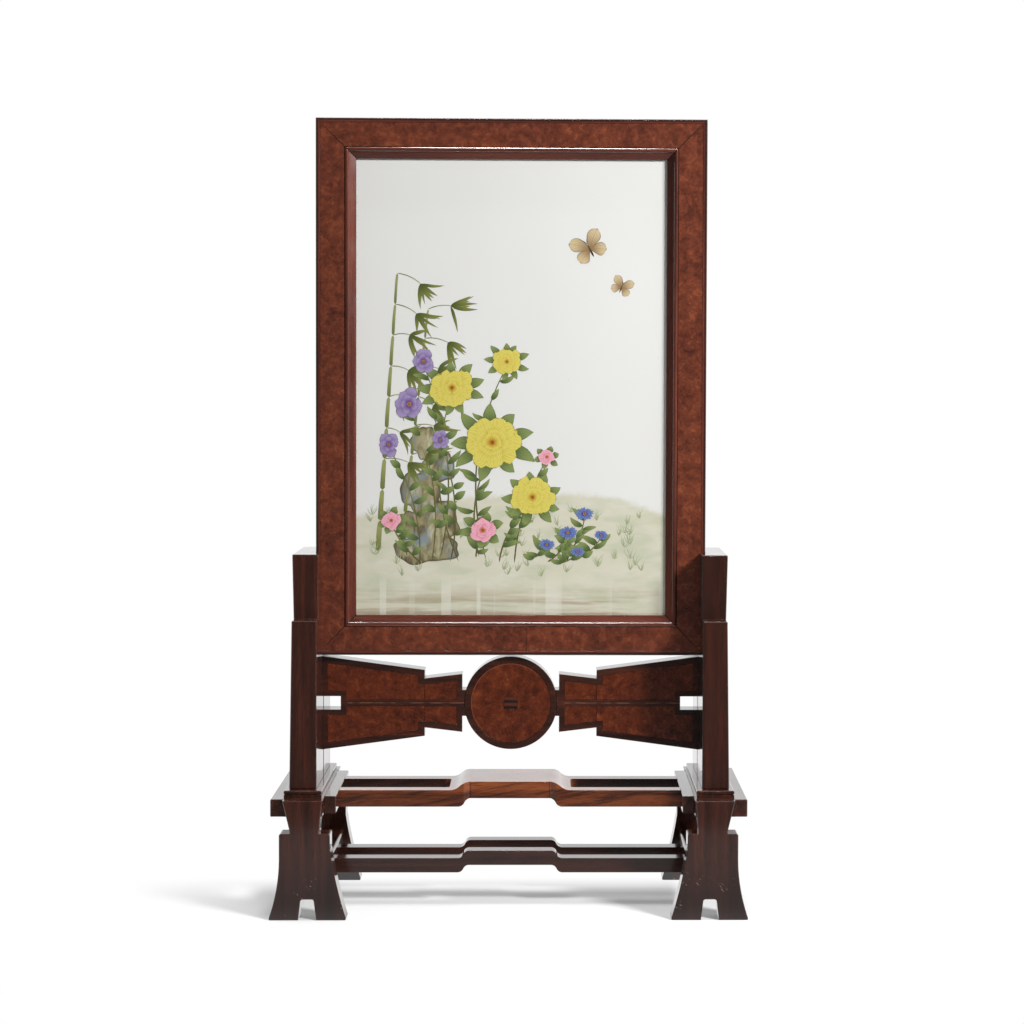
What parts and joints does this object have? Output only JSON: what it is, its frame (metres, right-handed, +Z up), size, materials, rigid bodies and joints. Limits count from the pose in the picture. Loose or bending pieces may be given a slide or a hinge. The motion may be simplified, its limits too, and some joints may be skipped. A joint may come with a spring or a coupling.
{
  "type": "porcelain table screen",
  "caption": "Table screen: mitred hardwood and burl frame round a porcelain plaque, lifted out of a stand with two posts, a winged apron, a slotted shelf and flared legs.",
  "frame": {"origin": "on the surface it stands on, under the middle of the stand", "axes": "+Z up, +X to the viewer's right, +Y from the painted front to the back"},
  "size_m": [0.3914, 0.132, 0.659],
  "materials": {
    "hongmu": "dark red-brown hardwood, waxed and polished",
    "shelf_wood": "warm streaked hardwood, waxed and polished",
    "burl": "mottled burl veneer, polished",
    "dark_inlay": "dark hardwood inlay, polished",
    "backing_wood": "plain softwood, stained, matt",
    "porcelain": "white glaze with overglaze enamels",
    "brass": "small pins, dulled"
  },
  "bodies": {
    "stand": {"front_lower_rail": "hongmu", "left_cleat": "hongmu", "left_end_block": "hongmu", "left_front_leg": "hongmu", "left_low_bar": "hongmu", "left_lower_inner_burl": "burl", "left_lower_outer_burl": "burl", "left_plinth": "hongmu", "left_post": "hongmu", "left_rear_leg": "hongmu", "left_upper_inner_burl": "burl", "left_upper_outer_burl": "burl", "left_wing": "hongmu", "rear_lower_rail": "hongmu", "right_cleat": "hongmu", "right_end_block": "hongmu", "right_front_leg": "hongmu", "right_low_bar": "hongmu", "right_lower_inner_burl": "burl", "right_lower_outer_burl": "burl", "right_plinth": "hongmu", "right_post": "hongmu", "right_rear_leg": "hongmu", "right_upper_inner_burl": "burl", "right_upper_outer_burl": "burl", "right_wing": "hongmu", "roundel": "hongmu", "roundel_burl": "burl", "roundel_plug": "dark_inlay", "upper_shelf": "shelf_wood"},
    "panel": {"bottom_back_fillet": "backing_wood", "bottom_burl_facing": "burl", "bottom_rail": "hongmu", "bottom_sight_moulding": "hongmu", "left_back_fillet": "backing_wood", "left_burl_facing": "burl", "left_sight_moulding": "hongmu", "left_stile": "hongmu", "right_back_fillet": "backing_wood", "right_burl_facing": "burl", "right_sight_moulding": "hongmu", "right_stile": "hongmu", "top_back_fillet": "backing_wood", "top_burl_facing": "burl", "top_rail": "hongmu", "top_sight_moulding": "hongmu", "porcelain_plaque": "porcelain", "back_board": "backing_wood", "fillet_pins": "brass"}
  },
  "joints": [
    {"name": "panel_lift", "type": "slide", "parent": "stand", "child": "panel", "axis": [0, 0, 1], "range_m": [0, 0.1]}
  ]
}
